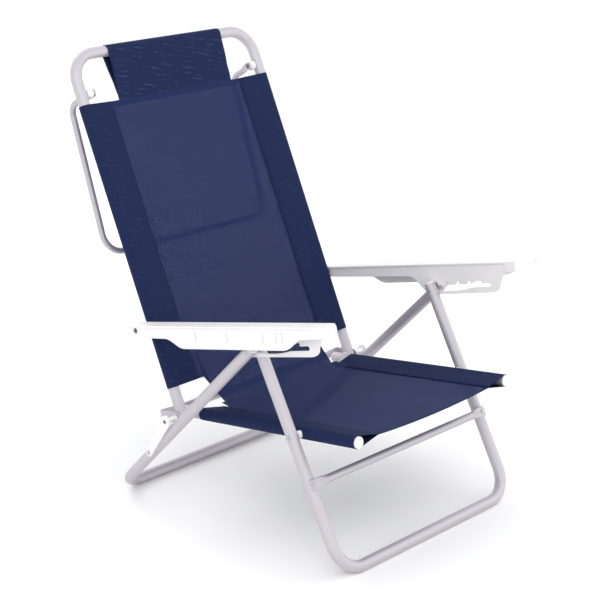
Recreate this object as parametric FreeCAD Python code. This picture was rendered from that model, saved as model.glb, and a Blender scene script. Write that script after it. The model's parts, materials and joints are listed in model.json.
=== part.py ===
import FreeCAD, Part
import math
import os

V = FreeCAD.Vector

# Reclining folding beach chair.  Millimetres and degrees, +Z up, the sitter faces -Y.
# The side view is drawn in (y, z); "lean" is measured rearward from vertical.

# ---- tubes ----
TUBE_R = 11.1            # main frame tube, 22.2 mm outside diameter
TUBE_WALL = 1.2
BRACE_R = 7.95           # stretcher and rear brace, 15.9 mm
BRACE_WALL = 1.0
RAIL_R = 6.35            # towel rail, 12.7 mm
RAIL_WALL = 1.0
BEND_R = 55.0            # centreline radius of the frame bends

# ---- side view ----
FRONT_LEAN = 28.6
REAR_LEAN = -44.5
BACK_LEAN = 24.7
SEAT_SLOPE = 8.33        # the seat drops rearward
FRONT_TO_SEAT = 264.0    # along the front leg, foot to seat pivot
FRONT_TO_APEX = 437.2    # along the front leg, foot to apex pin
LEG_TOP = 12.0           # tube left above the apex pin
REAR_TO_APEX = 538.18    # along the rear leg, foot to apex pin
REAR_TO_LINK = 151.0     # along the rear leg, foot to link rivet
SEAT_PIVOTS = 306.4      # along the seat rail, front pivot to main pivot
SEAT_FRONT = 441.0       # rail length in front of the main pivot
SEAT_REAR = 16.0         # rail length behind it
BACK_TOP = 732.8         # main pivot to centre of the top bar
BACK_TAIL = 13.0         # back tube below the main pivot
ARM_PIVOT = 185.0        # main pivot to armrest screw
RAIL_PIVOT = 654.0       # main pivot to towel rail pivot
STRETCHER_UP = 171.0     # along the front leg, foot to stretcher
REAR_BRACE = 46.0        # rear brace centre behind the main pivot

# ---- half widths of the frame centrelines ----
SEAT_X = 214.0
BACK_X = 241.0
FRONT_X = 245.0
REAR_X = 271.0
MID_DEPTH = 372.7        # moves the origin to the middle of the overall depth

# ---- fasteners ----
PIN_R = 3.0
RUN_FIT = 0.05           # radial clearance of a turning hole
HEAD_R = 5.0
HEAD_T = 1.5
STRAP_T = 3.0            # flattened tube ends
STRAP_HALF = 10.0
DRILL = 20.0             # half length of a cross-hole cutter
PLUG_INSERT = 8.0
BRACE_ROUND_X = 222.0    # end of the round part of the rear brace
BRACE_FLAT_X = 244.0     # start of its flat ends
SIDE_GAP = 0.5           # between a flat end and the tube beside it
PLUG_FIT = 0.1           # radial gap of a plug insert in its tube
PLUG_FLANGE = 2.2
PLUG_CROWN = 3.6
PLUG_CROWN_R = 40.0
STRETCHER_STRAP_IN = 4.0 # strap start inboard of the leg tube
STRETCHER_TAPER = 18.0
STRETCHER_STRAP_OUT = 7.0
STRETCHER_RIVET_R = 2.4
SPACER_COLLAR_R = 7.5
WASHER_R = 9.0
WASHER_GAP = 0.2

# ---- armrest, drawn as (u forward, w up) from its screw ----
ARM_SLOPE = 13.1
ARM_REAR = 23.0
ARM_LENGTH = 548.0       # screw to the outer front corner
ARM_INNER_LENGTH = 508.0 # screw to the inner front corner
ARM_IN = FRONT_X + TUBE_R + 0.6
ARM_OUT = 288.0
ARM_WALL = 2.6
ARM_LIP = 2.5            # deck edge standing proud of the inner flange
ARM_TOP = 10.0
ARM_DECK_T = 3.6
ARM_CORNER_R = 8.0
FLANGE_LOW = -53.0
SKIRT_LOW = -34.0
NOTCH_PITCH = 28.4
NOTCH_COUNT = 5
NOTCH_R = 3.5
NOTCH_RISE = 7.5
NOTCH_FORWARD = 4.0
SLOT_R = 4.2
SLOT_TAIL = 7.0          # slot behind the rest position of the pin
SLOT_NOSE = (436.0, -35.5)
SLOT_STEPS = 12
GROOVES = (174.0, 262.0, 356.0, 390.0, 406.0)
GROOVE_HIGH = -2.0
GROOVE_LOW = -18.0
RIBS = (60.0, 120.0, 180.0, 240.0)
RIB_LOW = -11.0
NOSE_START = 482.0       # the front wall begins here
NOSE_ROUND = 500.0       # and its underside starts to curve up here
SCREW_HEAD_R = 4.6
SCREW_SINK = 1.9         # depth of the screw head in the skirt
RECLINE_MAX = 44.0
ARM_COUNTER = 0.79       # armrest turn against the back, per degree of recline

# ---- link plates ----
LINK_X = 282.5
LINK_T = 4.0
LINK_TOP_R = 12.0
LINK_TIP_R = 8.0
HUB_R = 5.5
HUB_IN = 257.8
HUB_RIVET_IN = HUB_IN + 4.0
HUB_RIVET_R = 2.2
HUB_COLLAR_T = 0.8

# ---- fabric ----
CLOTH_T = 1.0
SLEEVE_IN = TUBE_R + 0.2
SLEEVE_OUT = TUBE_R + 1.1
SEAT_SLEEVE_REAR = 30.0
BACK_SLEEVE_LOW = 58.0
BACK_CLOTH_LOW = 30.0
BACK_CORNER_UP = 96.0    # cloth cut away beside the seat rails up to here
BACK_CORNER_X = 198.0
CREASE_HALF = 155.0      # half width of the cloth below the back sleeves
BACK_CLOTH_TOP = 632.0
LOOP_HALF = 153.0
LOOP_LOW = 635.0

# ---- towel rail, drawn as (s along the back, n behind it) ----
TOWEL_X = 222.0
TOWEL_TAB_X = 212.0      # centre of the flattened ends
TOWEL_NECK = 30.0        # pivot to the round tube
EYE_R = 8.0
EYE_HALF_T = 1.5
TOWEL_ELBOW = (648.0, 67.0)
TOWEL_FOOT = (348.0, 99.0)
ELBOW_BEND = 24.0
TOWEL_BEND = 42.0
SPACER_R = 10.5          # ball spacer between the rail end and the back tube
SPACER_END_R = 6.0


def step(point, lean, distance):
    """Side-view point reached by going up a member that leans rearward."""
    a = math.radians(lean)
    return (point[0] + distance * math.sin(a), point[1] + distance * math.cos(a))


def turn(vector, angle):
    """Side-view vector turned about +X; a positive angle folds forward."""
    a = math.radians(angle)
    y, z = vector
    return (y * math.cos(a) - z * math.sin(a), y * math.sin(a) + z * math.cos(a))


def at(x, point):
    return V(x, point[0] - MID_DEPTH, point[1])


SEAT_LEAN = 90.0 + SEAT_SLOPE          # direction from the seat pivot to the main pivot
FRONT_FOOT = (0.0, TUBE_R)
SEAT_PIVOT = step(FRONT_FOOT, FRONT_LEAN, FRONT_TO_SEAT)
APEX = step(FRONT_FOOT, FRONT_LEAN, FRONT_TO_APEX)
REAR_FOOT = step(APEX, REAR_LEAN, -REAR_TO_APEX)
MAIN_PIVOT = step(SEAT_PIVOT, SEAT_LEAN, SEAT_PIVOTS)
LINK_PIVOT = step(REAR_FOOT, REAR_LEAN, REAR_TO_LINK)
ARM_SCREW = step(MAIN_PIVOT, BACK_LEAN, ARM_PIVOT)
BRACE = step(MAIN_PIVOT, SEAT_LEAN, REAR_BRACE)


def on_seat(s, n=0.0):
    """Point s behind the main pivot along the seat rails, n above them."""
    return step(step(MAIN_PIVOT, SEAT_LEAN, s), SEAT_LEAN - 90.0, n)


def on_back(s, n=0.0):
    """Point s up the back from the main pivot, n behind it."""
    return step(step(MAIN_PIVOT, BACK_LEAN, s), BACK_LEAN + 90.0, n)


def on_arm(u, w):
    """Point of the armrest drawing in the side view."""
    dy, dz = turn((-u, w), -ARM_SLOPE)
    return (ARM_SCREW[0] + dy, ARM_SCREW[1] + dz)


def into_arm(point, recline):
    """Side-view point seen in the armrest drawing after the back reclines."""
    dy, dz = turn((0.0, ARM_PIVOT), -BACK_LEAN - recline)
    screw = (MAIN_PIVOT[0] + dy, MAIN_PIVOT[1] + dz)
    arm_turn = -recline * (1.0 - ARM_COUNTER)
    offset = (point[0] - screw[0], point[1] - screw[1])
    dy, dz = turn(offset, ARM_SLOPE - arm_turn)
    return (-dy, dz)


# ---- solid helpers ----
def rod(a, b, radius):
    return Part.makeCylinder(radius, (b - a).Length, a, b - a)


def cross_rod(point, x0, x1, radius):
    return rod(at(min(x0, x1), point), at(max(x0, x1), point), radius)


def fuse(shapes):
    body = shapes[0]
    for shape in shapes[1:]:
        body = body.fuse(shape)
    return body.removeSplitter()


def mirror(shape):
    return shape.mirror(V(0, 0, 0), V(1, 0, 0))


def pair(shape):
    return Part.makeCompound([shape, mirror(shape)])


def rounded_path(points, bends):
    """Wire through the points with each corner rounded to its bend radius."""
    edges = []
    start = points[0]
    for before, corner, after, bend in zip(points, points[1:], points[2:], bends):
        arm_in = (before - corner).normalize()
        arm_out = (after - corner).normalize()
        half = arm_in.getAngle(arm_out) / 2.0
        setback = bend / math.tan(half)
        bisector = (arm_in + arm_out).normalize()
        middle = corner + bisector * (bend / math.sin(half) - bend)
        first = corner + arm_in * setback
        last = corner + arm_out * setback
        edges.append(Part.LineSegment(start, first).toShape())
        edges.append(Part.Arc(first, middle, last).toShape())
        start = last
    edges.append(Part.LineSegment(start, points[-1]).toShape())
    return Part.Wire(edges)


def sweep(path, radius):
    first = path.Edges[0]
    origin = first.valueAt(first.FirstParameter)
    direction = first.tangentAt(first.FirstParameter)
    profile = Part.Wire([Part.Circle(origin, direction, radius).toShape()])
    return path.makePipeShell([profile], True, True)


def bent_tube(points, bends, radius, wall):
    path = rounded_path(points, bends)
    return sweep(path, radius).cut(sweep(path, radius - wall))


def outline(points):
    """Closed face through 3-D points."""
    return Part.Face(Part.makePolygon(points + [points[0]]))


def side_plate(points, x0, x1):
    """Flat plate between x0 and x1 with a side-view outline."""
    return outline([at(x0, p) for p in points]).extrude(V(x1 - x0, 0, 0))


def capsule(a, b, ra, rb, x0, x1):
    """Plate shaped like two discs joined by their outer tangents."""
    dy, dz = b[0] - a[0], b[1] - a[1]
    length = math.hypot(dy, dz)
    base = math.atan2(dz, dy)
    offset = math.acos((ra - rb) / length)
    corners = []
    for centre, radius, sign in ((a, ra, 1), (b, rb, 1), (b, rb, -1), (a, ra, -1)):
        angle = base + sign * offset
        corners.append((centre[0] + radius * math.cos(angle), centre[1] + radius * math.sin(angle)))
    parts = [side_plate(corners, x0, x1)]
    parts.append(cross_rod(a, x0, x1, ra))
    parts.append(cross_rod(b, x0, x1, rb))
    return fuse(parts)


def stadium(centre, along, thin, half_length, half_thick):
    """Flattened-tube section made of four edges."""
    flat = half_length - half_thick
    a = centre + along * flat + thin * half_thick
    b = centre + along * flat - thin * half_thick
    c = centre - along * flat - thin * half_thick
    d = centre - along * flat + thin * half_thick
    right = Part.Arc(a, centre + along * half_length, b).toShape()
    left = Part.Arc(c, centre - along * half_length, d).toShape()
    bottom = Part.LineSegment(b, c).toShape()
    top = Part.LineSegment(d, a).toShape()
    return Part.Wire([right, bottom, left, top])


def round_section(centre, along, thin, radius):
    """Circle split into the same four edges as the stadium."""
    def rim(degrees):
        a = math.radians(degrees)
        return centre + along * (radius * math.cos(a)) + thin * (radius * math.sin(a))
    edges = []
    for start in (45, -45, -135, -225):
        edges.append(Part.Arc(rim(start), rim(start - 45), rim(start - 90)).toShape())
    return Part.Wire(edges)


def flattening(round_at, flat_at, along, thin, radius):
    """Transition from a round tube to its flattened strap."""
    start = round_section(round_at, along, thin, radius)
    end = stadium(flat_at, along, thin, STRAP_HALF, STRAP_T / 2.0)
    return Part.makeLoft([start, end], True, True)


def side_direction(lean):
    a = math.radians(lean)
    return V(0, math.sin(a), math.cos(a))


# ---- frames ----
def leg_frame(half, foot, lean, length, holes):
    """U of tube standing on its foot bar; holes are (side-view point, radius)."""
    top = step(foot, lean, length)
    points = [at(-half, top), at(-half, foot), at(half, foot), at(half, top)]
    frame = bent_tube(points, [BEND_R, BEND_R], TUBE_R, TUBE_WALL)
    for point, radius in holes:
        for side in (-1, 1):
            drill = cross_rod(point, side * (half - DRILL), side * (half + DRILL), radius)
            frame = frame.cut(drill)
    return frame


def front_leg_frame():
    holes = [(SEAT_PIVOT, PIN_R + RUN_FIT), (APEX, PIN_R)]
    frame = leg_frame(FRONT_X, FRONT_FOOT, FRONT_LEAN, FRONT_TO_APEX + LEG_TOP, holes)
    return frame.cut(stretcher_rivets())


def rear_leg_frame():
    holes = [(LINK_PIVOT, PIN_R), (APEX, PIN_R + RUN_FIT)]
    return leg_frame(REAR_X, REAR_FOOT, REAR_LEAN, REAR_TO_APEX + LEG_TOP, holes)


def back_frame():
    low = on_back(-BACK_TAIL)
    high = on_back(BACK_TOP)
    points = [at(-BACK_X, low), at(-BACK_X, high), at(BACK_X, high), at(BACK_X, low)]
    frame = bent_tube(points, [BEND_R, BEND_R], TUBE_R, TUBE_WALL)
    for side in (-1, 1):
        centre = side * BACK_X
        outer = side * (BACK_X + DRILL)
        frame = frame.cut(cross_rod(MAIN_PIVOT, centre - DRILL, centre + DRILL, PIN_R + RUN_FIT))
        frame = frame.cut(cross_rod(ARM_SCREW, centre, outer, PIN_R + RUN_FIT))
        frame = frame.cut(cross_rod(on_back(RAIL_PIVOT), centre, side * (BACK_X - DRILL), PIN_R))
    return frame


def seat_rail():
    ends = [at(SEAT_X, on_seat(-SEAT_FRONT)), at(SEAT_X, on_seat(SEAT_REAR))]
    rail = rod(ends[0], ends[1], TUBE_R).cut(rod(ends[0], ends[1], TUBE_R - TUBE_WALL))
    rail = rail.cut(cross_rod(MAIN_PIVOT, SEAT_X - DRILL, SEAT_X + DRILL, PIN_R))
    return rail.cut(cross_rod(SEAT_PIVOT, SEAT_X, SEAT_X + DRILL, PIN_R))


def tube_plug(x, point, outward, tube_r=TUBE_R, wall=TUBE_WALL):
    """Plastic end plug: an insert, a flange as wide as the tube and a low dome."""
    centre = at(x, point)
    bore = tube_r - wall - PLUG_FIT
    insert = rod(centre - outward * PLUG_INSERT, centre + outward * 0.5, bore)
    flange = rod(centre, centre + outward * PLUG_FLANGE, tube_r)
    dome = Part.makeSphere(PLUG_CROWN_R, centre + outward * (PLUG_CROWN - PLUG_CROWN_R))
    crown = dome.common(rod(centre + outward * 2.0, centre + outward * 4.0, tube_r - 0.8))
    return fuse([insert, flange, crown])


def seat_end_plugs():
    forward = -side_direction(SEAT_LEAN)
    front = tube_plug(SEAT_X, on_seat(-SEAT_FRONT), forward)
    rear = tube_plug(SEAT_X, on_seat(SEAT_REAR), -forward)
    return Part.makeCompound([front, rear, mirror(front), mirror(rear)])


def leg_plugs(half, foot, lean, length):
    return pair(tube_plug(half, step(foot, lean, length), side_direction(lean)))


# ---- stretcher, braces and rivets ----
def stretcher_line():
    """Side-view centre of the stretcher straps, on the front of the front legs."""
    point = step(FRONT_FOOT, FRONT_LEAN, STRETCHER_UP)
    return step(point, FRONT_LEAN - 90.0, TUBE_R + STRAP_T / 2.0)


def front_stretcher():
    line = stretcher_line()
    up = side_direction(FRONT_LEAN)
    thin = side_direction(FRONT_LEAN - 90.0)
    strap_x = FRONT_X - TUBE_R - STRETCHER_STRAP_IN
    round_x = strap_x - STRETCHER_TAPER
    outer = rod(at(-round_x, line), at(round_x, line), BRACE_R)
    body = [outer]
    for side in (-1, 1):
        body.append(flattening(at(side * round_x, line), at(side * strap_x, line), up, thin, BRACE_R))
        strap = stadium(at(side * strap_x, line), up, thin, STRAP_HALF, STRAP_T / 2.0)
        reach = side * (FRONT_X + STRETCHER_STRAP_OUT - strap_x)
        body.append(Part.Face(strap).extrude(V(reach, 0, 0)))
    solid = fuse(body)
    solid = solid.cut(rod(at(-round_x, line), at(round_x, line), BRACE_R - BRACE_WALL))
    return solid.cut(stretcher_rivets())


def stretcher_rivets():
    line = stretcher_line()
    face = step(line, FRONT_LEAN - 90.0, STRAP_T / 2.0)
    inside = step(line, FRONT_LEAN + 90.0, 8.0)
    head = step(face, FRONT_LEAN - 90.0, HEAD_T)
    shaft = rod(at(FRONT_X, inside), at(FRONT_X, face), STRETCHER_RIVET_R)
    cap = rod(at(FRONT_X, face), at(FRONT_X, head), HEAD_R - 0.8)
    return pair(fuse([shaft, cap]))


def rear_brace():
    """Bar behind the back tubes; its flattened ends turn forward to the main pivot."""
    tall = side_direction(SEAT_LEAN - 90.0)
    thin = side_direction(SEAT_LEAN)
    strap_x = BACK_X + TUBE_R + SIDE_GAP
    round_x = BRACE_ROUND_X
    flat_x = BRACE_FLAT_X
    body = [rod(at(-round_x, BRACE), at(round_x, BRACE), BRACE_R)]
    for side in (-1, 1):
        body.append(flattening(at(side * round_x, BRACE), at(side * flat_x, BRACE), tall, thin, BRACE_R))
        section = stadium(at(side * flat_x, BRACE), tall, thin, STRAP_HALF, STRAP_T / 2.0)
        reach = side * (strap_x + STRAP_T - flat_x)
        body.append(Part.Face(section).extrude(V(reach, 0, 0)))
        inner, outer = side * strap_x, side * (strap_x + STRAP_T)
        body.append(cross_rod(MAIN_PIVOT, inner, outer, STRAP_HALF))
        rear, half = REAR_BRACE + STRAP_T / 2.0, STRAP_HALF - STRAP_T / 2.0
        corners = [on_seat(0, STRAP_HALF), on_seat(rear, half)]
        corners += [on_seat(rear, -half), on_seat(0, -STRAP_HALF)]
        body.append(side_plate(corners, inner, outer))
    solid = fuse(body)
    solid = solid.cut(rod(at(-round_x, BRACE), at(round_x, BRACE), BRACE_R - BRACE_WALL))
    for side in (-1, 1):
        solid = solid.cut(cross_rod(MAIN_PIVOT, side * flat_x, side * (strap_x + DRILL), PIN_R))
    return solid


def domed_head(point, face_x, outward, radius=HEAD_R, height=HEAD_T):
    """Low round head standing on the face at face_x, turned from its half section."""
    ball_r = (radius ** 2 + height ** 2) / (2.0 * height)
    half = math.asin(radius / ball_r) / 2.0
    base = at(face_x, point)
    rim = base + V(0, radius, 0)
    crown = base + V(outward * height, 0, 0)
    middle = base + V(outward * (height - ball_r + ball_r * math.cos(half)), ball_r * math.sin(half), 0)
    edges = [Part.LineSegment(base, rim).toShape(), Part.Arc(rim, middle, crown).toShape()]
    edges.append(Part.LineSegment(crown, base).toShape())
    return Part.Face(Part.Wire(edges)).revolve(base, V(1, 0, 0), 360)


def rivet(point, x_in, x_out, head_in, head_out):
    """Cross rivet on the +X side with optional domed heads."""
    parts = [cross_rod(point, x_in, x_out, PIN_R)]
    if head_in:
        parts.append(domed_head(point, x_in, -1))
    if head_out:
        parts.append(domed_head(point, x_out, 1))
    return fuse(parts)


def main_pivot_rivets():
    outer = BACK_X + TUBE_R + SIDE_GAP + STRAP_T
    return pair(rivet(MAIN_PIVOT, SEAT_X - TUBE_R, outer, True, True))


def seat_pivot_rivets():
    return pair(rivet(SEAT_PIVOT, SEAT_X - 6.0, FRONT_X + TUBE_R, False, True))


def apex_pins():
    return pair(rivet(APEX, FRONT_X - TUBE_R, REAR_X + TUBE_R, True, True))


def link_rivets():
    return pair(rivet(LINK_PIVOT, REAR_X - TUBE_R, LINK_X + LINK_T, True, True))


def seat_spacers():
    """White collars between the seat rails and the front legs."""
    collar = cross_rod(SEAT_PIVOT, SEAT_X + TUBE_R - 1.0, FRONT_X - TUBE_R - 0.3, SPACER_COLLAR_R)
    collar = collar.cut(cross_rod(SEAT_PIVOT, SEAT_X, FRONT_X, PIN_R))
    return pair(collar.cut(rod(at(SEAT_X, on_seat(-SEAT_FRONT)), at(SEAT_X, on_seat(0)), TUBE_R)))


def back_hinge_washers():
    gap_in = SEAT_X + TUBE_R + WASHER_GAP
    gap_out = BACK_X - TUBE_R - WASHER_GAP
    washer = cross_rod(MAIN_PIVOT, gap_in, gap_out, WASHER_R)
    return pair(washer.cut(cross_rod(MAIN_PIVOT, SEAT_X, BACK_X, PIN_R + RUN_FIT)))


# ---- links ----
def link_plate():
    plate = capsule(MAIN_PIVOT, LINK_PIVOT, LINK_TOP_R, LINK_TIP_R, LINK_X, LINK_X + LINK_T)
    hub = cross_rod(MAIN_PIVOT, HUB_IN, LINK_X + 1.0, HUB_R)
    face = LINK_X + LINK_T
    collar = cross_rod(MAIN_PIVOT, face, face + HUB_COLLAR_T, LINK_TOP_R - 3.0)
    body = fuse([plate, hub, collar])
    body = body.cut(cross_rod(LINK_PIVOT, LINK_X - 1.0, face + 1.0, PIN_R + RUN_FIT))
    return body.cut(cross_rod(MAIN_PIVOT, HUB_RIVET_IN, face + 2.0, HUB_RIVET_R))


def link_hub_rivet():
    face = LINK_X + LINK_T + HUB_COLLAR_T
    shaft = cross_rod(MAIN_PIVOT, HUB_RIVET_IN, face, HUB_RIVET_R)
    head = domed_head(MAIN_PIVOT, face, 1, 4.0, 1.2)
    return fuse([shaft, head])


# ---- armrest ----
def arm_plate(points, x0, x1):
    return side_plate([on_arm(u, w) for u, w in points], x0, x1)


def place_arm(shape):
    """Move a shape drawn with u along -Y and w along +Z onto the armrest line."""
    moved = shape.copy()
    moved.rotate(V(0, 0, 0), V(1, 0, 0), -ARM_SLOPE)
    moved.translate(at(0.0, ARM_SCREW))
    return moved


def arm_plan(inset, low, high, rear=-ARM_REAR):
    """Armrest outline in plan, oblique at the front, between two heights."""
    x_in = ARM_IN - ARM_LIP + inset
    x_out = ARM_OUT + ARM_LIP - inset
    corners = [(x_in, rear), (x_out, rear), (x_out, ARM_LENGTH - inset)]
    corners.append((x_in, ARM_INNER_LENGTH - inset))
    block = outline([V(x, -u, low) for x, u in corners]).extrude(V(0, 0, high - low))
    upright = [e for e in block.Edges if abs(e.tangentAt(e.FirstParameter).z) > 0.99]
    return block.makeFillet(ARM_CORNER_R - inset, upright)


def arm_deck():
    """Flat top with rounded corners in plan and softened edges."""
    deck = arm_plan(0.0, ARM_TOP - ARM_DECK_T, ARM_TOP)
    rim = [e for e in deck.Edges if all(v.Z > ARM_TOP - 0.01 for v in e.Vertexes)]
    return place_arm(deck.makeFillet(1.6, rim))


def s_curve(a, b, steps=10):
    """Smooth step between two outline points, level at both ends."""
    points = []
    for i in range(steps + 1):
        t = i / steps
        rise = (1.0 - math.cos(math.pi * t)) / 2.0
        points.append((a[0] + (b[0] - a[0]) * t, a[1] + (b[1] - a[1]) * rise))
    return points


def round_corner(start, end, steps=6):
    """Quarter ellipse that leaves start level and meets end upright."""
    points = []
    for i in range(1, steps + 1):
        t = math.radians(90.0 * i / steps)
        u = start[0] + (end[0] - start[0]) * math.sin(t)
        points.append((u, start[1] + (end[1] - start[1]) * (1.0 - math.cos(t))))
    return points


def arm_flange():
    """Deep inner flange that carries the slot."""
    top = ARM_TOP - 1.0
    points = [(5.0 - ARM_REAR, top), (5.0 - ARM_REAR, -12.0)]
    points += s_curve((228.0, -15.5), (286.0, FLANGE_LOW - 1.0))
    points += [(442.0, FLANGE_LOW + 2.0)]
    points += round_corner((442.0, FLANGE_LOW + 2.0), (464.0, -36.0))
    points += [(474.0, -18.0), (496.0, -13.0), (498.0, top)]
    flange = arm_plate(points, ARM_IN, ARM_IN + ARM_WALL)
    for cutter in slot_cutters():
        flange = flange.cut(cutter)
    return flange


def slot_track():
    """Where the apex pin travels in the armrest as the back reclines."""
    return [into_arm(APEX, RECLINE_MAX * i / SLOT_STEPS) for i in range(SLOT_STEPS + 1)]


def slot_cutters():
    """Straight channel, the path of the pin and the notches that open off the channel."""
    x0, x1 = ARM_IN - 1.0, ARM_IN + ARM_WALL + 1.0
    track = slot_track()
    rest = track[0]
    tail = (rest[0] - SLOT_TAIL, rest[1])
    fall = (SLOT_NOSE[1] - tail[1]) / (SLOT_NOSE[0] - tail[0])
    lines = [(tail, SLOT_NOSE)] + list(zip(track, track[1:]))
    cutters = [capsule(on_arm(*a), on_arm(*b), SLOT_R, SLOT_R, x0, x1) for a, b in lines]
    for i in range(NOTCH_COUNT):
        u = rest[0] + NOTCH_PITCH * i
        w = tail[1] + fall * (u - tail[0])
        crown = on_arm(u + NOTCH_FORWARD, w + NOTCH_RISE)
        cutters.append(capsule(on_arm(u, w), crown, NOTCH_R, NOTCH_R, x0, x1))
    return cutters


def arm_skirt():
    """Outer skirt: shallow at the rear, deeper over the apex, with shallow grooves."""
    top = ARM_TOP - 1.0
    points = [(3.0 - ARM_REAR, top), (1.0 - ARM_REAR, -8.0), (6.0 - ARM_REAR, -14.0)]
    points += s_curve((84.0, -15.0), (136.0, SKIRT_LOW))
    points += s_curve((404.0, SKIRT_LOW + 1.0), (456.0, -13.0))
    points += [(NOSE_ROUND, RIB_LOW)] + round_corner((NOSE_ROUND, RIB_LOW), (ARM_LENGTH - 8.0, top))
    skirt = arm_plate(points, ARM_OUT - ARM_WALL, ARM_OUT)
    for u in GROOVES:
        ends = on_arm(u, GROOVE_HIGH), on_arm(u, GROOVE_LOW)
        skirt = skirt.cut(capsule(ends[0], ends[1], 1.4, 1.39, ARM_OUT - 1.2, ARM_OUT + 1.0))
    return skirt


def arm_nose():
    """Front wall that follows the oblique end, rounded up from underneath."""
    low = RIB_LOW
    shell = arm_plan(0.0, low, ARM_TOP - 1.0, NOSE_START - 12.0)
    inner = arm_plan(ARM_WALL, low - 1.0, ARM_TOP - ARM_DECK_T, NOSE_START - 32.0)
    shape = place_arm(shell.cut(inner))
    points = [(NOSE_START, ARM_TOP), (NOSE_START, low), (NOSE_ROUND, low)]
    points += round_corner((NOSE_ROUND, low), (ARM_LENGTH, ARM_TOP))
    return shape.common(arm_plate(points, ARM_IN - ARM_DECK_T, ARM_OUT + ARM_DECK_T))


def arm_ribs():
    """Cross ribs between the two walls, clear of the leg ends."""
    ribs = []
    high, low = ARM_TOP - 1.0, RIB_LOW
    for u in RIBS:
        points = [(u - 1.0, high), (u - 1.0, low), (u + 1.0, low), (u + 1.0, high)]
        ribs.append(arm_plate(points, ARM_IN + 1.0, ARM_OUT - 1.0))
    return ribs


def arm_screw_boss():
    block = cross_rod(ARM_SCREW, ARM_IN, ARM_OUT, 9.0)
    fill = arm_plate([(-12, ARM_TOP - 1), (-9, 0), (9, 0), (12, ARM_TOP - 1)], ARM_IN, ARM_OUT)
    return [block, fill]


def armrest():
    body = fuse([arm_deck(), arm_flange(), arm_skirt(), arm_nose()] + arm_ribs() + arm_screw_boss())
    body = body.cut(cross_rod(ARM_SCREW, ARM_IN - 1.0, ARM_OUT + 3.0, PIN_R + RUN_FIT))
    return body.cut(cross_rod(ARM_SCREW, ARM_OUT - 2.0, ARM_OUT + 3.0, 5.2))


def armrest_screw():
    """Screw through the armrest into the back tube, with a countersunk head."""
    seat = ARM_OUT - SCREW_SINK
    shaft = cross_rod(ARM_SCREW, BACK_X + 2.0, seat, PIN_R)
    head = cross_rod(ARM_SCREW, seat, ARM_OUT + 0.4, SCREW_HEAD_R)
    slot = Part.makeBox(1.2, 10.0, 1.2)
    slot.translate(V(ARM_OUT - 0.6, at(0, ARM_SCREW).y - 5.0, ARM_SCREW[1] - 0.6))
    return fuse([shaft, head]).cut(slot)


# ---- fabric ----
def sleeve(x, a, b):
    return rod(at(x, a), at(x, b), SLEEVE_OUT).cut(rod(at(x, a), at(x, b), SLEEVE_IN))


def sheet(low, high, half, lean):
    """Flat cloth between two side-view points, spanning both sleeves."""
    up = V(0, high[0] - low[0], high[1] - low[1])
    thin = side_direction(lean + 90.0)
    a = at(-half, low) - thin * (CLOTH_T / 2.0)
    wide = V(2.0 * half, 0, 0)
    return outline([a, a + wide, a + wide + up, a + up]).extrude(thin * CLOTH_T)


def seat_sling():
    front, rear = on_seat(2.0 - SEAT_FRONT), on_seat(-SEAT_SLEEVE_REAR)
    parts = [sheet(front, rear, SEAT_X - SLEEVE_IN - 0.3, SEAT_LEAN)]
    for side in (-1, 1):
        cuff = sleeve(side * SEAT_X, front, rear)
        cuff = cuff.cut(cross_rod(SEAT_PIVOT, side * SEAT_X, side * (SEAT_X + 20.0), 8.0))
        parts.append(cuff)
    return fuse(parts)


def back_sling():
    top = on_back(BACK_CLOTH_TOP)
    parts = [sheet(on_back(BACK_CLOTH_LOW), top, BACK_X - SLEEVE_IN - 0.3, BACK_LEAN)]
    parts[0] = parts[0].cut(crease_corner(-1)).cut(crease_corner(1))
    for side in (-1, 1):
        cuff = sleeve(side * BACK_X, on_back(BACK_SLEEVE_LOW), top)
        parts.append(cuff.cut(cross_rod(ARM_SCREW, side * BACK_X, side * (BACK_X + 20.0), 6.0)))
    return fuse(parts)


def crease_corner(side):
    """Steps left out of the back cloth beside the seat crease and the seat rails."""
    edge = side * (BACK_X + 5.0)
    cuts = []
    for inner, high in ((CREASE_HALF, BACK_SLEEVE_LOW), (BACK_CORNER_X, BACK_CORNER_UP)):
        low, top = on_back(BACK_CLOTH_LOW - 5.0, -3.0), on_back(high, -3.0)
        corners = [at(side * inner, low), at(edge, low), at(edge, top), at(side * inner, top)]
        cuts.append(outline(corners).extrude(side_direction(BACK_LEAN + 90.0) * 6.0))
    return cuts[0].fuse(cuts[1])


def head_loop():
    """Cloth looped over the top bar and closed at its hem."""
    def teardrop(radius, low):
        reach = BACK_TOP - low
        angle = math.acos(radius / reach)
        parts = []
        for sign in (-1, 1):
            s = BACK_TOP - radius * math.cos(angle)
            n = sign * radius * math.sin(angle)
            parts.append((s, n))
        centre = at(-LOOP_HALF, on_back(BACK_TOP))
        disc = Part.makeCylinder(radius, 2.0 * LOOP_HALF, centre, V(1, 0, 0))
        corners = [on_back(low), on_back(*parts[0]), on_back(BACK_TOP), on_back(*parts[1])]
        return disc.fuse(side_plate(corners, -LOOP_HALF, LOOP_HALF))
    outer = teardrop(SLEEVE_OUT + 0.3, LOOP_LOW)
    inner = teardrop(SLEEVE_IN, LOOP_LOW + 12.0)
    return outer.cut(inner).removeSplitter()


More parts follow.
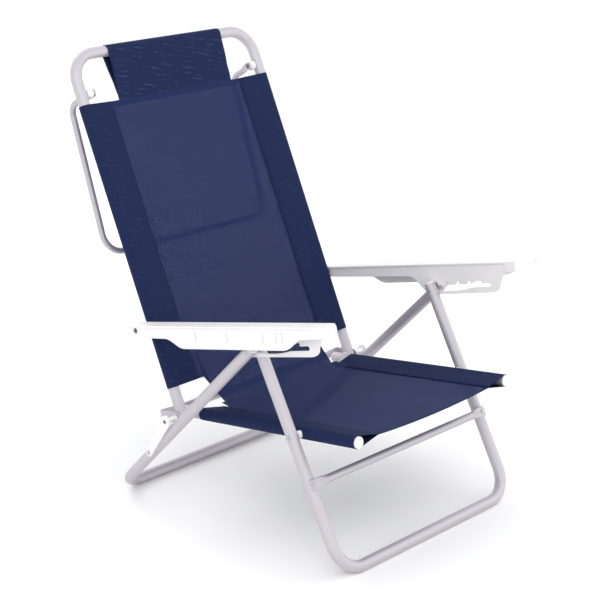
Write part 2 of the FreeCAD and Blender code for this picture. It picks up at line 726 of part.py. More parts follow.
# ---- towel rail ----
def towel_rail():
    """U of thin tube whose flattened ends turn on rivets inboard of the back."""
    elbow = on_back(*TOWEL_ELBOW)
    foot = on_back(*TOWEL_FOOT)
    pivot = on_back(RAIL_PIVOT)
    along = (at(0, elbow) - at(0, pivot)).normalize()
    across = along.cross(V(1, 0, 0))
    start = at(0, pivot) + along * TOWEL_NECK
    left = V(-TOWEL_X, 0, 0)
    right = V(TOWEL_X, 0, 0)
    points = [start + left, at(-TOWEL_X, elbow), at(-TOWEL_X, foot)]
    points += [at(TOWEL_X, foot), at(TOWEL_X, elbow), start + right]
    bends = [ELBOW_BEND, TOWEL_BEND, TOWEL_BEND, ELBOW_BEND]
    parts = [bent_tube(points, bends, RAIL_R, RAIL_WALL)]
    for side in (-1, 1):
        begin = round_section(start + V(side * TOWEL_X, 0, 0), across, V(1, 0, 0), RAIL_R)
        flat_at = at(side * TOWEL_TAB_X, pivot) + along * EYE_R
        end = stadium(flat_at, across, V(1, 0, 0), EYE_R, EYE_HALF_T)
        parts.append(Part.makeLoft([begin, end], True, True))
        parts.append(Part.Face(end).extrude(along * -EYE_R))
        tab_x = side * TOWEL_TAB_X
        parts.append(cross_rod(pivot, tab_x - EYE_HALF_T, tab_x + EYE_HALF_T, EYE_R))
    body = fuse(parts)
    for side in (-1, 1):
        tab_x = side * TOWEL_TAB_X
        body = body.cut(cross_rod(pivot, tab_x - 3.0, tab_x + 3.0, PIN_R + RUN_FIT))
    return body


def rail_spacers():
    """White ball spacers between the flattened rail ends and the back tubes."""
    pivot = on_back(RAIL_PIVOT)
    inner = TOWEL_TAB_X + EYE_HALF_T + 0.2
    outer = BACK_X - TUBE_R - 0.3
    section = [(inner, PIN_R), (inner, SPACER_END_R), (outer, SPACER_END_R), (outer, PIN_R)]
    a, b, c, d = [at(x, pivot) + V(0, radius, 0) for x, radius in section]
    crown = at((inner + outer) / 2.0, pivot) + V(0, SPACER_R, 0)
    edges = [Part.LineSegment(a, b).toShape(), Part.Arc(b, crown, c).toShape()]
    edges += [Part.LineSegment(c, d).toShape(), Part.LineSegment(d, a).toShape()]
    ball = Part.Face(Part.Wire(edges)).revolve(at(0, pivot), V(1, 0, 0), 360)
    return pair(ball)


def rail_rivets():
    pivot = on_back(RAIL_PIVOT)
    inner = TOWEL_TAB_X - EYE_HALF_T - 0.2
    return pair(rivet(pivot, inner, BACK_X - 4.0, True, False))


def nodes():
    arm = armrest()
    screw = armrest_screw()
    link = link_plate()
    hub_rivet = link_hub_rivet()
    front_length = FRONT_TO_APEX + LEG_TOP
    rear_length = REAR_TO_APEX + LEG_TOP
    return {
        "seat_rails": pair(seat_rail()),
        "seat_end_plugs": seat_end_plugs(),
        "seat_sling": seat_sling(),
        "main_pivot_rivets": main_pivot_rivets(),
        "seat_pivot_rivets": seat_pivot_rivets(),
        "seat_spacers": seat_spacers(),
        "rear_brace": rear_brace(),
        "front_leg_frame": front_leg_frame(),
        "front_leg_plugs": leg_plugs(FRONT_X, FRONT_FOOT, FRONT_LEAN, front_length),
        "front_stretcher": front_stretcher(),
        "stretcher_rivets": stretcher_rivets(),
        "apex_pins": apex_pins(),
        "rear_leg_frame": rear_leg_frame(),
        "rear_leg_plugs": leg_plugs(REAR_X, REAR_FOOT, REAR_LEAN, rear_length),
        "link_rivets": link_rivets(),
        "link_right": link,
        "link_left": mirror(link),
        "link_hub_rivet_right": hub_rivet,
        "link_hub_rivet_left": mirror(hub_rivet),
        "back_hinge_washers": back_hinge_washers(),
        "back_frame": back_frame(),
        "back_sling": back_sling(),
        "head_loop": head_loop(),
        "rail_spacers": rail_spacers(),
        "rail_rivets": rail_rivets(),
        "armrest_right": arm,
        "armrest_left": mirror(arm),
        "armrest_screw_right": screw,
        "armrest_screw_left": mirror(screw),
        "towel_rail": towel_rail(),
    }


os.makedirs("parts", exist_ok=True)
for name, shape in nodes().items():
    box = shape.BoundBox
    print("%-22s solids %d valid %s  x %.1f..%.1f  y %.1f..%.1f  z %.1f..%.1f" % (
        name, len(shape.Solids), shape.isValid(), box.XMin, box.XMax,
        box.YMin, box.YMax, box.ZMin, box.ZMax))
    shape.exportStep(os.path.join("parts", name + ".step"))
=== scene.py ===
import json
import math

import bpy
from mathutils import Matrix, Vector, noise


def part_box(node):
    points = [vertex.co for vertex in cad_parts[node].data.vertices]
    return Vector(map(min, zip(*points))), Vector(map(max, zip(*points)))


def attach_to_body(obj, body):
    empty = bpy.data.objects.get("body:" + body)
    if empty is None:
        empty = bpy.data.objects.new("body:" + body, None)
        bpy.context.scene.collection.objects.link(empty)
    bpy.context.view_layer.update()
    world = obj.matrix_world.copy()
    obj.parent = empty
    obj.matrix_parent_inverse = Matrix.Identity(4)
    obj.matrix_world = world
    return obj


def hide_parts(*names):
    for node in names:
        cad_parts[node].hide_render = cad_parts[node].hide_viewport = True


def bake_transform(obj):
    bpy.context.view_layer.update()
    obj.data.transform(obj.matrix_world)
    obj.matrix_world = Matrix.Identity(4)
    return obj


# Looks for a folding beach chair.  Metres, +Z up, the sitter faces -Y.
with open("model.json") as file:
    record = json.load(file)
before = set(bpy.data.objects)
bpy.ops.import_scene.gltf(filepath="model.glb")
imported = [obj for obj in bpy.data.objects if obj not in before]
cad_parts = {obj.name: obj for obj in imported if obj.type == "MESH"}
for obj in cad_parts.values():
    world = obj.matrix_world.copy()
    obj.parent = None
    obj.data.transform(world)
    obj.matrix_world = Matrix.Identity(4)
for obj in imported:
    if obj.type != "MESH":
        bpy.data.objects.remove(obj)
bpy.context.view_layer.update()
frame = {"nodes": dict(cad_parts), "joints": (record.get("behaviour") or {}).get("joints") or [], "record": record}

MM = 0.001
X_AXIS = Vector((1, 0, 0))


# ---- frame lines taken from the joints and the CAD nodes ----
def joint_place(name):
    """Middle-plane point of a joint axis."""
    joint = next(j for j in frame["joints"] if j["name"] == name)
    return Vector((0, joint["pos_m"][1], joint["pos_m"][2]))


PIVOT = joint_place("recline")
SEAT_FORWARD = (joint_place("fold") - PIVOT).normalized()
SEAT_UP = SEAT_FORWARD.cross(X_AXIS)
BACK_UP = (joint_place("arm_fold_left") - PIVOT).normalized()
BACK_FRONT = X_AXIS.cross(BACK_UP)

TUBE_R = 11.1 * MM
SEAT_TUBE_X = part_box("seat_rails")[1].x - TUBE_R
BACK_TUBE_X = 241.0 * MM
SEAT_CLOTH_FRONT = 440.0 * MM
BACK_CLOTH_TOP = 632.0 * MM
TOP_BAR = 732.8 * MM

# ---- cloth ----
CLOTH = 0.7 * MM
SLEEVE_R = TUBE_R + 0.3 * MM + CLOTH / 2
SEAT_SEAM_X = 160.0 * MM
BACK_SEAM_X = 175.0 * MM
LAP = 0.9 * MM                        # sleeve layers lie this far above and below the sheet
TUCK = 5.0 * MM                       # sheet edge held inside the sleeve seam
CREASE_HALF = 155.0 * MM
CREASE_AT = (30.0 * MM, 9.0 * MM)     # crease line in front of the main pivot and above it
SEAT_CLOTH_REAR = 32.0 * MM
SEAT_JOIN = 68.0 * MM                 # the cloth meets the plane of the seat rails
BACK_SLEEVE_LOW = 58.0 * MM           # lower edge of the back sleeves
HEM = 19.0 * MM                       # the head loop is sewn on below the back cloth's top edge
LOOP_HALF = 152.5 * MM
WEAVE = 1.4 * MM                      # yarn pitch
CORNER_BLEND = 3.0 * MM               # width over which the crease's ends step back to the sleeves
CREASE_BEND = 1.15                    # how the back cloth curves out of the crease
SLEEVE_WAVE = 1.6 * MM
LOOP_WAVE = 2.2 * MM
LOOP_JOIN = 2.0 * MM                  # the head loop opens this far above the back cloth
LOOP_STEPS = 14
LOOP_ARC_STEPS = 22
LOOP_COLUMNS = 50
HEM_DROP = 1.5                        # in cloth thicknesses

# ---- cloth meshes and how slack they hang ----
SHEET_COLUMNS = 57
END_CROWDING = 0.125
SEAT_ROWS = 64
SEAT_HEM_ROWS = 5
SEAT_SLACK = 0.0004
BACK_ROWS = 84
BACK_HEM_ROWS = 7
BACK_SLACK = 0.0008
DRAPE_FRAMES = 24

# ---- stitches ----
SITTER_SIDE = (SEAT_UP + BACK_FRONT).normalized()
STITCH_PITCH = 4.2 * MM
STITCH_LENGTH = 3.1 * MM
STITCH_RADIUS = 0.28 * MM
STITCH_SIDES = 6
STITCH_PROFILE = ((0.0, 0.35), (0.2, 0.95), (0.5, 1.1), (0.8, 0.95), (1.0, 0.35))
SEW_OFFSETS = (0.15, 0.75)            # shares of the sheet's outermost column

# ---- looks ----
SHEET_OPENING = 0.013                 # share of the single mesh that is open
HEM_BANDS = 0.35
LOOP_BANDS = 1.0
BAND_PITCH = 11.0 * MM
SHARP_ANGLE = math.radians(35)
SMALL_BEVEL = 0.7 * MM
ARMREST_BEVEL = 1.6 * MM

# ---- studio ----
FLOOR_HALF = 40.0
WORLD_STRENGTH = 1.05
LIGHT_TARGET = (0, 0, 0.4)
LIGHTS = (
    ("key", (-2.6, -2.4, 3.2), 2.4, 40),
    ("fill", (2.4, -2.2, 1.6), 2.4, 16),
    ("rim", (0.6, 3.0, 2.8), 2.0, 25),
)
CAMERA_OFFSET = (-2.2102, -2.2223, 1.2043)
CAMERA_TILT = 71.906
CAMERA_TURN = -45.972
CAMERA_LENS = 98.14
SENSOR_WIDTH = 36.0


def seat_place(x, s, n):
    """Point s in front of the main pivot along the seat, n above it."""
    return PIVOT + X_AXIS * x + SEAT_FORWARD * s + SEAT_UP * n


def back_place(x, s, n):
    """Point s up the back from the main pivot, n towards the sitter."""
    return PIVOT + X_AXIS * x + BACK_UP * s + BACK_FRONT * n


def smooth(a, b, value):
    t = min(1.0, max(0.0, (value - a) / (b - a)))
    return t * t * (3 - 2 * t)


# ---- mesh helpers ----
def mesh_object(name, verts, faces, uvs=None):
    mesh = bpy.data.meshes.new(name)
    mesh.from_pydata([tuple(v) for v in verts], [], faces)
    if uvs:
        layer = mesh.uv_layers.new(name="cloth")
        for loop in mesh.loops:
            layer.data[loop.index].uv = uvs[loop.vertex_index]
    mesh.polygons.foreach_set("use_smooth", [True] * len(mesh.polygons))
    mesh.update()
    obj = bpy.data.objects.new(name, mesh)
    bpy.context.scene.collection.objects.link(obj)
    return obj


def grid_faces(rows, columns):
    faces = []
    for r in range(rows - 1):
        for c in range(columns - 1):
            a = r * columns + c
            faces.append((a, a + 1, a + columns + 1, a + columns))
    return faces


def bake(obj):
    """Replaces the mesh with its evaluated copy and removes the modifiers."""
    bpy.context.view_layer.update()
    graph = bpy.context.evaluated_depsgraph_get()
    mesh = bpy.data.meshes.new_from_object(obj.evaluated_get(graph))
    obj.modifiers.clear()
    obj.data = mesh
    return obj


def thicken(obj, thickness=CLOTH):
    solid = obj.modifiers.new("thickness", "SOLIDIFY")
    solid.thickness = thickness
    solid.offset = 0.0
    return bake(obj)


def drape(obj, pinned, slack):
    """Lets the unpinned cloth settle under its own weight."""
    group = obj.vertex_groups.new(name="pinned")
    group.add(pinned, 1.0, "REPLACE")
    cloth = obj.modifiers.new("drape", "CLOTH")
    settings = cloth.settings
    settings.vertex_group_mass = "pinned"
    settings.quality = 8
    settings.mass = 0.012
    settings.tension_stiffness = 110
    settings.compression_stiffness = 60
    settings.shear_stiffness = 10
    settings.bending_stiffness = 0.8
    settings.tension_damping = 25
    settings.shrink_min = -slack
    settings.air_damping = 5
    cloth.collision_settings.use_collision = False
    cloth.collision_settings.use_self_collision = False
    scene = bpy.context.scene
    cloth.point_cache.frame_start = 1
    cloth.point_cache.frame_end = DRAPE_FRAMES
    for number in range(1, DRAPE_FRAMES + 1):
        scene.frame_set(number)
    bake(obj)
    scene.frame_set(1)
    obj.vertex_groups.clear()


# ---- the sling ----
def sleeve_section(tube_x, seam_x, flat_steps=7, arc_steps=26):
    """Right-hand sleeve from its lower edge, round the tube, to the upper seam: (x, n) points."""
    reach = tube_x - seam_x
    spread = math.acos(SLEEVE_R / reach)
    start = -(math.pi - spread)
    arc = []
    for i in range(arc_steps + 1):
        a = start - 2 * start * i / arc_steps
        arc.append((tube_x + SLEEVE_R * math.cos(a), SLEEVE_R * math.sin(a)))
    section = []
    for i in range(flat_steps):
        t = i / flat_steps
        section.append((seam_x + (arc[0][0] - seam_x) * t, -LAP + (arc[0][1] + LAP) * t))
    section += arc
    for i in range(1, flat_steps + 1):
        t = i / flat_steps
        section.append((arc[-1][0] + (seam_x - arc[-1][0]) * t, arc[-1][1] + (LAP - arc[-1][1]) * t))
    return section


def arc_lengths(points):
    lengths = [0.0]
    for a, b in zip(points, points[1:]):
        lengths.append(lengths[-1] + math.hypot(b[0] - a[0], b[1] - a[1]))
    return lengths


def row_shares(count):
    """Shares 0 to 1, closer together at both ends."""
    shares = []
    for i in range(count):
        t = i / (count - 1)
        shares.append(t - END_CROWDING * math.sin(2 * math.pi * t))
    return shares


def sheet_grid(name, place, seam_x, path, rows):
    """Single layer between the seams; path(x, share) gives (s, n)."""
    verts, uvs = [], []
    for share in row_shares(rows):
        for c in range(SHEET_COLUMNS):
            x = (seam_x + TUCK) * (2 * c / (SHEET_COLUMNS - 1) - 1)
            s, n = path(x, share)
            verts.append(place(x, s, n))
            uvs.append((x, s))
    return mesh_object(name, verts, grid_faces(rows, SHEET_COLUMNS), uvs)


def sleeve_grid(name, place, tube_x, seam_x, low, high, side, rows=90):
    """One sleeve, a double layer from the seam round its tube, with faint waves along it."""
    section = sleeve_section(tube_x, seam_x)
    across = arc_lengths(section)
    verts, uvs = [], []
    for share in row_shares(rows):
        s = low + (high - low) * share
        for (x, n), u in zip(section, across):
            off_tube = smooth(0.0, 0.5, (tube_x - x) / (tube_x - seam_x))
            free = off_tube * smooth(0.0, 8 * MM, x - seam_x)
            wave = noise.noise(Vector((x * 30, s * 9, 5.0 * side)))
            verts.append(place(side * x, s, n + wave * free * SLEEVE_WAVE))
            uvs.append((u, s))
    return mesh_object(name, verts, grid_faces(rows, len(section)), uvs)


def seat_path(x, share):
    """Seat cloth from its rear edge; between the crease corners it starts at the crease."""
    corner = smooth(CREASE_HALF, CREASE_HALF - CORNER_BLEND, abs(x))
    start = SEAT_CLOTH_REAR + (CREASE_AT[0] - SEAT_CLOTH_REAR) * corner
    s = start + (SEAT_CLOTH_FRONT - start) * share
    rise = CREASE_AT[1] * (1 - smooth(CREASE_AT[0], SEAT_JOIN, s))
    return s, rise


def back_path(x, share):
    """Back cloth from the crease, or from the sleeve edge outside the crease corners."""
    crease = seat_place(0, *CREASE_AT) - PIVOT
    low_s, low_n = crease.dot(BACK_UP), crease.dot(BACK_FRONT)
    start = BACK_SLEEVE_LOW if abs(x) > CREASE_HALF else low_s
    s = start + (BACK_CLOTH_TOP - start) * share
    reach = max(0.0, (BACK_SLEEVE_LOW - s) / (BACK_SLEEVE_LOW - low_s))
    return s, low_n * reach ** CREASE_BEND


def edge_pins(rows, keep_rows):
    """Side seams, the first row and any named rows stay where they are."""
    pinned = []
    for r in range(rows):
        for c in range(SHEET_COLUMNS):
            if c in (0, SHEET_COLUMNS - 1) or r == 0 or r in keep_rows:
                pinned.append(r * SHEET_COLUMNS + c)
    return pinned


def hem(name, source, rows):
    """Folded strip lying on the far side of the sheet along its end rows."""
    mesh = source.data
    cloth_uvs = {}
    for loop in mesh.loops:
        cloth_uvs[loop.vertex_index] = mesh.uv_layers[0].data[loop.index].uv.copy()
    verts, uvs = [], []
    for r in rows:
        for c in range(SHEET_COLUMNS):
            index = r * SHEET_COLUMNS + c
            verts.append(mesh.vertices[index].co - SITTER_SIDE * HEM_DROP * CLOTH)
            uvs.append(cloth_uvs[index])
    return mesh_object(name, verts, grid_faces(len(rows), SHEET_COLUMNS), uvs)


def sleeves(name, place, tube_x, seam_x, low, high):
    return [sleeve_grid(name + suffix, place, tube_x, seam_x, low, high, side)
            for suffix, side in (("_left", -1), ("_right", 1))]


def seat_cloth():
    obj = sheet_grid("sling_seat", seat_place, SEAT_SEAM_X, seat_path, SEAT_ROWS)
    drape(obj, edge_pins(SEAT_ROWS, []), SEAT_SLACK)
    front = hem("sling_seat_hem", obj, range(SEAT_ROWS - SEAT_HEM_ROWS, SEAT_ROWS))
    stitches = seam_stitches("sling_seat_stitches", obj, SEAT_ROWS)
    return obj, front, stitches


def back_cloth():
    obj = sheet_grid("sling_back", back_place, BACK_SEAM_X, back_path, BACK_ROWS)
    top_rows = range(BACK_ROWS - BACK_HEM_ROWS, BACK_ROWS)
    drape(obj, edge_pins(BACK_ROWS, top_rows), BACK_SLACK)
    top = hem("sling_back_hem", obj, top_rows)
    stitches = seam_stitches("sling_back_stitches", obj, BACK_ROWS)
    return obj, top, stitches


def stitch(verts, faces, start, end, normal):
    """Adds one short thread, a six-sided spindle that dips into the cloth at both ends."""
    along = (end - start).normalized()
    side = along.cross(normal).normalized()
    base = len(verts)
    for t, size in STITCH_PROFILE:
        lift = normal * STITCH_RADIUS * (math.sin(math.pi * t) * 0.9 - 0.4)
        centre = start.lerp(end, t) + lift
        for i in range(STITCH_SIDES):
            a = math.tau * i / STITCH_SIDES
            verts.append(centre + (side * math.cos(a) + normal * math.sin(a)) * STITCH_RADIUS * size)
    last = base + (len(STITCH_PROFILE) - 1) * STITCH_SIDES
    for ring in range(base, last, STITCH_SIDES):
        for i in range(STITCH_SIDES):
            a = ring + i
            b = ring + (i + 1) % STITCH_SIDES
            faces.append((a, b, b + STITCH_SIDES, a + STITCH_SIDES))
    faces.append(tuple(base + i for i in reversed(range(STITCH_SIDES))))
    faces.append(tuple(last + i for i in range(STITCH_SIDES)))


def seam_stitches(name, source, rows):
    """Two rows of thread beside each sleeve seam."""
    mesh = source.data
    verts, faces = [], []
    for seam, inward in ((0, 1), (SHEET_COLUMNS - 1, -1)):
        for offset in SEW_OFFSETS:
            line = []
            for r in range(rows):
                a = mesh.vertices[r * SHEET_COLUMNS + seam]
                b = mesh.vertices[r * SHEET_COLUMNS + seam + inward]
                line.append((a.co.lerp(b.co, offset), a.normal.copy()))
            sew_line(verts, faces, line)
    return mesh_object(name, verts, faces)


def sew_line(verts, faces, line):
    """Stitches at an even pitch along a line of (point, normal)."""
    travelled = 0.0
    due = STITCH_PITCH
    for (a, na), (b, nb) in zip(line, line[1:]):
        gap = (b - a).length
        while due < travelled + gap:
            t = (due - travelled) / gap
            normal = na.lerp(nb, t).normalized()
            if normal.dot(SITTER_SIDE) < 0:
                normal = -normal
            direction = (b - a).normalized()
            top = a.lerp(b, t) + normal * (LAP + CLOTH * 0.55)
            stitch(verts, faces, top, top + direction * STITCH_LENGTH, normal)
            due += STITCH_PITCH
        travelled += gap


def loop_path():
    """(s, n) points from the hem up, round the top bar and back down to the hem."""
    low = BACK_CLOTH_TOP - HEM * 0.5
    join = BACK_CLOTH_TOP + LOOP_JOIN
    spread = math.acos(SLEEVE_R / (TOP_BAR - join))
    touch = (TOP_BAR - SLEEVE_R * math.cos(spread), SLEEVE_R * math.sin(spread))
    rise = []
    for i in range(1, LOOP_STEPS):
        t = i / LOOP_STEPS
        rise.append((join + (touch[0] - join) * t, touch[1] * t))
    wrap = []
    for i in range(LOOP_ARC_STEPS + 1):
        a = spread + (math.tau - 2 * spread) * i / LOOP_ARC_STEPS
        wrap.append((TOP_BAR - SLEEVE_R * math.cos(a), SLEEVE_R * math.sin(a)))
    fall = [(s, -n) for s, n in reversed(rise)]
    sewn_front = [(low, -1.2 * CLOTH), (low + HEM / 4, -1.2 * CLOTH), (join, 0.0)]
    sewn_rear = [(join, -2.6 * CLOTH), (low + HEM / 4, -2.9 * CLOTH), (low, -2.9 * CLOTH)]
    return sewn_front + rise + wrap + fall + sewn_rear


def head_loop():
    """Cloth round the top bar, with faint ripples where it hangs free."""
    path = loop_path()
    join = BACK_CLOTH_TOP + LOOP_JOIN
    verts, uvs = [], []
    for (s, n), travelled in zip(path, arc_lengths(path)):
        near_bar = smooth(TOP_BAR - 32 * MM, TOP_BAR - 12 * MM, s)
        free = smooth(join, join + 25 * MM, s) * (1 - near_bar)
        layer = 3.0 if n > 0 else 9.0
        for c in range(LOOP_COLUMNS):
            x = LOOP_HALF * (2 * c / (LOOP_COLUMNS - 1) - 1)
            ripple = noise.noise(Vector((x * 14, s * 30 + x * 10, layer)))
            verts.append(back_place(x, s, n + ripple * free * LOOP_WAVE))
            uvs.append((x, travelled))
    return mesh_object("sling_head_loop", verts, grid_faces(len(path), LOOP_COLUMNS), uvs)


# ---- materials ----
class Graph:
    """Short names for building one node material."""

    def __init__(self, name):
        self.material = bpy.data.materials.new(name)
        self.material.use_nodes = True
        self.nodes = self.material.node_tree.nodes
        self.links = self.material.node_tree.links
        self.surface = self.nodes["Principled BSDF"]
        self.output = self.nodes["Material Output"]

    def node(self, kind, inputs=None, **options):
        node = self.nodes.new(kind)
        for key, value in options.items():
            setattr(node, key, value)
        for key, value in (inputs or {}).items():
            self.feed(node.inputs[key], value)
        return node

    def feed(self, socket, value):
        if isinstance(value, bpy.types.NodeSocket):
            self.links.new(value, socket)
        else:
            socket.default_value = value

    def math(self, operation, a, b=0.0):
        node = self.node("ShaderNodeMath", {0: a, 1: b}, operation=operation)
        return node.outputs[0]

    def noise(self, vector, scale, detail=3.0, roughness=0.5):
        inputs = {"Vector": vector, "Scale": scale, "Detail": detail, "Roughness": roughness}
        return self.node("ShaderNodeTexNoise", inputs).outputs["Fac"]

    def blend(self, factor, a, b):
        node = self.node("ShaderNodeMix", data_type="RGBA")
        self.feed(node.inputs["Factor"], factor)
        self.feed(node.inputs["A"], a)
        self.feed(node.inputs["B"], b)
        return node.outputs["Result"]

    def scale_range(self, value, low, high, to_low, to_high):
        inputs = {"Value": value, "From Min": low, "From Max": high}
        inputs.update({"To Min": to_low, "To Max": to_high})
        return self.node("ShaderNodeMapRange", inputs).outputs["Result"]

    def set(self, **values):
        for key, value in values.items():
            self.feed(self.surface.inputs[key.replace("_", " ")], value)

    def bump(self, height, distance, strength=1.0, normal=None):
        inputs = {"Height": height, "Distance": distance, "Strength": strength}
        node = self.node("ShaderNodeBump", inputs)
        if normal is not None:
            self.feed(node.inputs["Normal"], normal)
        return node.outputs["Normal"]


def object_coordinates(graph):
    return graph.node("ShaderNodeTexCoord").outputs["Object"]


def stretched(graph, vector, scale):
    return graph.node("ShaderNodeMapping", {"Vector": vector, "Scale": scale}).outputs["Vector"]


def anodised_tube():
    g = Graph("anodised_tube")
    place = object_coordinates(g)
    cloud = g.noise(place, 9.0, 4.0)
    grain = g.noise(place, 1400.0, 2.0)
    drawn = g.noise(stretched(g, place, (1600.0, 60.0, 60.0)), 1.0, 2.0)
    tone = g.blend(cloud, (0.505, 0.475, 0.520, 1), (0.600, 0.568, 0.615, 1))
    g.set(Base_Color=tone, Metallic=0.55)
    mottled = g.math("MULTIPLY_ADD", grain, 0.10)
    g.feed(mottled.node.inputs[2], g.scale_range(cloud, 0.3, 0.7, 0.44, 0.54))
    g.set(Roughness=mottled)
    edge = g.node("ShaderNodeBevel", {"Radius": 0.5 * MM}, samples=4).outputs["Normal"]
    g.set(Normal=g.bump(drawn, 0.02 * MM, 0.35, edge))
    return g.material


def rivet_metal(name, low, high):
    g = Graph(name)
    place = object_coordinates(g)
    cloud = g.noise(place, 260.0, 4.0)
    g.set(Base_Color=g.blend(cloud, low, high))
    g.set(Metallic=0.7, Roughness=g.scale_range(cloud, 0.3, 0.7, 0.35, 0.55))
    edge = g.node("ShaderNodeBevel", {"Radius": 0.6 * MM}, samples=6).outputs["Normal"]
    g.set(Normal=g.bump(g.noise(place, 900.0), 0.05 * MM, 0.5, edge))
    return g.material


def moulded_plastic(name, low, high, bevel):
    g = Graph(name)
    place = object_coordinates(g)
    cloud = g.noise(place, 14.0, 4.0)
    skin = g.noise(place, 1100.0, 2.0)
    g.set(Base_Color=g.blend(cloud, low, high))
    g.set(Roughness=g.scale_range(cloud, 0.3, 0.7, 0.38, 0.5), IOR=1.47)
    edge = g.node("ShaderNodeBevel", {"Radius": bevel}, samples=6).outputs["Normal"]
    flow = g.bump(g.noise(place, 22.0, 2.0), 0.25 * MM, 0.25, edge)
    g.set(Normal=g.bump(skin, 0.03 * MM, 0.5, flow))
    return g.material


def weave_cover(g, coordinate):
    """Distance from the nearest yarn centre, 0 to 1, and the yarn's number."""
    turns = g.math("DIVIDE", coordinate, WEAVE)
    share = g.math("FRACT", turns)
    offset = g.math("ABSOLUTE", g.math("SUBTRACT", share, 0.5))
    return g.math("MULTIPLY", offset, 2.0), g.math("FLOOR", turns)


def mesh_cloth(name, opening, tones, bands):
    """Coated yarns in a plain weave with small square openings between them."""
    g = Graph(name)
    uv = g.node("ShaderNodeUVMap", uv_map="cloth").outputs["UV"]
    parts = g.node("ShaderNodeSeparateXYZ", {"Vector": uv})
    warp, warp_number = weave_cover(g, parts.outputs["X"])
    weft, weft_number = weave_cover(g, parts.outputs["Y"])
    edge = 1.0 - math.sqrt(opening)
    warp_gap = g.math("GREATER_THAN", warp, edge)
    weft_gap = g.math("GREATER_THAN", weft, edge)
    hole = g.math("MULTIPLY", warp_gap, weft_gap)
    parity = g.math("PINGPONG", g.math("ADD", warp_number, weft_number), 1.0)
    warp_round = g.math("SUBTRACT", 1.0, g.math("MULTIPLY", warp, warp))
    weft_round = g.math("SUBTRACT", 1.0, g.math("MULTIPLY", weft, weft))
    over = g.math("MULTIPLY", parity, g.math("SUBTRACT", warp_round, weft_round))
    height = g.math("ADD", weft_round, over)
    place = object_coordinates(g)
    cloud = g.noise(place, 5.0, 3.0)
    fibre = g.noise(stretched(g, uv, (220.0, 220.0, 1.0)), 1.0, 2.0)
    tone = g.blend(cloud, tones["dark"], tones["light"])
    # Low points of the weave take the darker gap tone: painted shade in the valleys between yarns and on their
    # rounded sides.
    yarn = g.blend(g.scale_range(height, 0.0, 1.0, 0.0, 1.0), tones["gap"], tone)
    colour = g.blend(g.scale_range(fibre, 0.35, 0.65, 0.0, 0.22), yarn, tones["worn"])
    if bands:
        colour = g.blend(g.math("MULTIPLY", moire_bands(g, uv), bands), colour, tones["wave"])
    g.set(Base_Color=colour, Roughness=0.72, Specular_IOR_Level=0.10)
    g.set(Normal=g.bump(height, 0.22 * MM, 0.5))
    g.set(Alpha=g.math("SUBTRACT", 1.0, hole))
    return g.material


# Tones lighter than NAVY_DOUBLE's: the yarn's own navy plus painted light from the white backdrop shining through
# the single layer.
NAVY_BACKLIT = {
    "dark": (0.0125, 0.0225, 0.0900, 1),
    "light": (0.0170, 0.0290, 0.1080, 1),
    # gap: painted shade for the weave's valleys
    "gap": (0.0075, 0.0130, 0.0540, 1),
    "worn": (0.0240, 0.0360, 0.1200, 1),
}
NAVY_DOUBLE = {
    "dark": (0.0105, 0.0200, 0.0740, 1),
    "light": (0.0150, 0.0260, 0.0900, 1),
    # gap: painted shade for the weave's valleys
    "gap": (0.0050, 0.0100, 0.0360, 1),
    "worn": (0.0200, 0.0310, 0.0950, 1),
    "wave": (0.0430, 0.0540, 0.1300, 1),
}


def moire_bands(g, uv):
    """Soft wavy bands where two layers of mesh lie over each other."""
    bend = g.noise(stretched(g, uv, (16.0, 24.0, 1.0)), 1.0, 2.0)
    parts = g.node("ShaderNodeSeparateXYZ", {"Vector": uv})
    slope = g.math("MULTIPLY", parts.outputs["X"], 0.22)
    level = g.math("ADD", parts.outputs["Y"], slope)
    phase = g.math("MULTIPLY", level, math.tau / BAND_PITCH)
    wave = g.math("SINE", g.math("ADD", phase, g.math("MULTIPLY", bend, 11.0)))
    patches = g.noise(stretched(g, uv, (34.0, 60.0, 1.0)), 1.0, 2.0)
    strength = g.scale_range(patches, 0.48, 0.68, 0.0, 0.75)
    return g.math("MULTIPLY", strength, g.scale_range(wave, 0.2, 1.0, 0.0, 1.0))


def thread():
    g = Graph("navy_thread")
    place = object_coordinates(g)
    twist = g.noise(place, 2600.0, 2.0)
    g.set(Base_Color=g.blend(twist, (0.012, 0.020, 0.060, 1), (0.040, 0.055, 0.130, 1)))
    g.set(Roughness=0.6, Sheen_Weight=0.3)
    g.set(Normal=g.bump(twist, 0.05 * MM, 0.6))
    return g.material


def pale_floor():
    g = Graph("pale_floor")
    place = object_coordinates(g)
    tone = g.blend(g.noise(place, 2.0), (0.955, 0.955, 0.955, 1), (0.965, 0.965, 0.965, 1))
    g.set(Base_Color=tone)
    g.set(Roughness=0.9, Specular_IOR_Level=0.1)
    return g.material


def paint(obj, material):
    obj.data.materials.clear()
    obj.data.materials.append(material)


# ---- put it together ----
def dress_cad(materials):
    """Gives each CAD node its material by the record's slot."""
    for part in frame["record"]["subparts"]:
        node = frame["nodes"][part["node"]]
        material = materials.get(part["material_slot"])
        if material:
            paint(node, material)
            soften(node)


def soften(node):
    """Smooth shading across curved faces, crisp at real edges."""
    mesh = node.data
    mesh.polygons.foreach_set("use_smooth", [True] * len(mesh.polygons))
    mesh.set_sharp_from_angle(angle=SHARP_ANGLE)


def sleeve_pieces():
    """(sleeve, body) for the four sleeves."""
    seat = sleeves("sling_seat_sleeve", seat_place, SEAT_TUBE_X, SEAT_SEAM_X,
                   SEAT_CLOTH_REAR, SEAT_CLOTH_FRONT)
    back = sleeves("sling_back_sleeve", back_place, BACK_TUBE_X, BACK_SEAM_X,
                   BACK_SLEEVE_LOW, BACK_CLOTH_TOP)
    return [(piece, "seat") for piece in seat] + [(piece, "back") for piece in back]


def hang_sheets(seat, back, material):
    """Paints the two sheets, which meet near the crease, and bakes their placement into their meshes."""
    paint(seat, material)
    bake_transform(seat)
    paint(back, material)
    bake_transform(back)


def attach(piece, body, material):
    paint(piece, material)
    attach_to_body(piece, body)


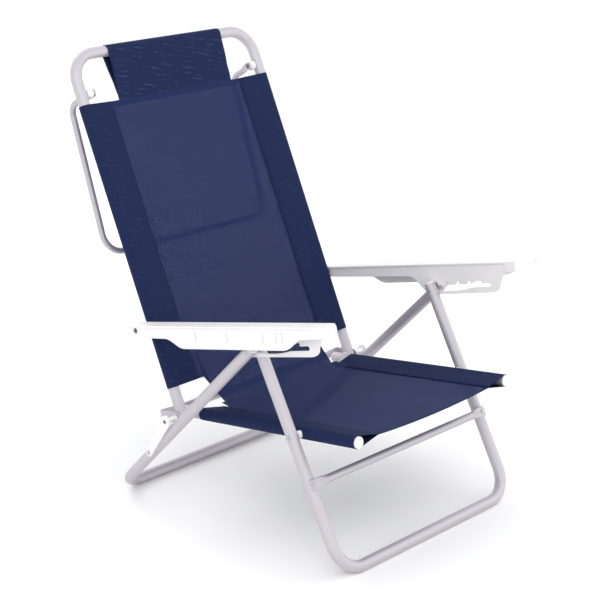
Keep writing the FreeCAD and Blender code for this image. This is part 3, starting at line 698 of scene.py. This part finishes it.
def build_sling():
    # The single sheet's tones carry painted light from the backdrop seen through it.
    single = mesh_cloth("sling_mesh", SHEET_OPENING, NAVY_BACKLIT, 0.0)
    double = mesh_cloth("sling_mesh_double", 0.0, NAVY_DOUBLE, HEM_BANDS)
    banded = mesh_cloth("sling_mesh_banded", 0.0, NAVY_DOUBLE, LOOP_BANDS)
    navy_thread = thread()
    seat, seat_hem, seat_sewing = seat_cloth()
    back, back_hem, back_sewing = back_cloth()
    sleeve_list = sleeve_pieces()
    loop = head_loop()
    hang_sheets(seat, back, single)
    for piece, body, material in ((seat_hem, "seat", double), (back_hem, "back", double),
                                  (loop, "back", banded)):
        attach(thicken(piece), body, material)
    for piece, body in sleeve_list:
        attach(thicken(piece), body, double)
    attach(seat_sewing, "seat", navy_thread)
    attach(back_sewing, "back", navy_thread)
    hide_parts("seat_sling")
    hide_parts("back_sling")
    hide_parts("head_loop")


def floor():
    size = FLOOR_HALF
    corners = [(-size, -size, 0), (size, -size, 0), (size, size, 0), (-size, size, 0)]
    plane = mesh_object("floor", corners, [(0, 1, 2, 3)])
    paint(plane, pale_floor())


def softbox(name, place, size, power):
    data = bpy.data.lights.new(name, "AREA")
    data.shape = "SQUARE"
    data.size = size
    data.energy = power
    lamp = bpy.data.objects.new(name, data)
    lamp.location = place
    aim = Vector(LIGHT_TARGET) - Vector(place)
    lamp.rotation_euler = aim.to_track_quat("-Z", "Y").to_euler()
    bpy.context.scene.collection.objects.link(lamp)


def studio():
    """White room and three soft boxes."""
    world = bpy.data.worlds.new("studio")
    bpy.context.scene.world = world
    world.use_nodes = True
    background = world.node_tree.nodes["Background"]
    background.inputs["Color"].default_value = (1.0, 1.0, 1.0, 1)
    background.inputs["Strength"].default_value = WORLD_STRENGTH
    for light in LIGHTS:
        softbox(*light)


def camera():
    data = bpy.data.cameras.new("camera")
    data.lens = CAMERA_LENS
    data.sensor_width = SENSOR_WIDTH
    obj = bpy.data.objects.new("camera", data)
    obj.location = PIVOT + Vector(CAMERA_OFFSET)
    obj.rotation_euler = (math.radians(CAMERA_TILT), 0, math.radians(CAMERA_TURN))
    bpy.context.scene.collection.objects.link(obj)
    bpy.context.scene.camera = obj


def cad_materials():
    white = ((0.80, 0.795, 0.805, 1), (0.86, 0.855, 0.865, 1))
    arm_white = ((0.80, 0.785, 0.80, 1), (0.86, 0.845, 0.86, 1))
    steel = ((0.42, 0.42, 0.43, 1), (0.58, 0.58, 0.60, 1))
    dark = ((0.10, 0.10, 0.11, 1), (0.20, 0.20, 0.21, 1))
    return {
        "anodised_tube": anodised_tube(),
        "steel_rivet": rivet_metal("steel_rivet", *steel),
        "dark_rivet": rivet_metal("dark_rivet", *dark),
        "white_plastic": moulded_plastic("white_plastic", *white, SMALL_BEVEL),
        "armrest_plastic": moulded_plastic("armrest_plastic", *arm_white, ARMREST_BEVEL),
    }


build_sling()
dress_cad(cad_materials())
floor()
studio()
camera()
bpy.context.scene.view_settings.view_transform = "Standard"
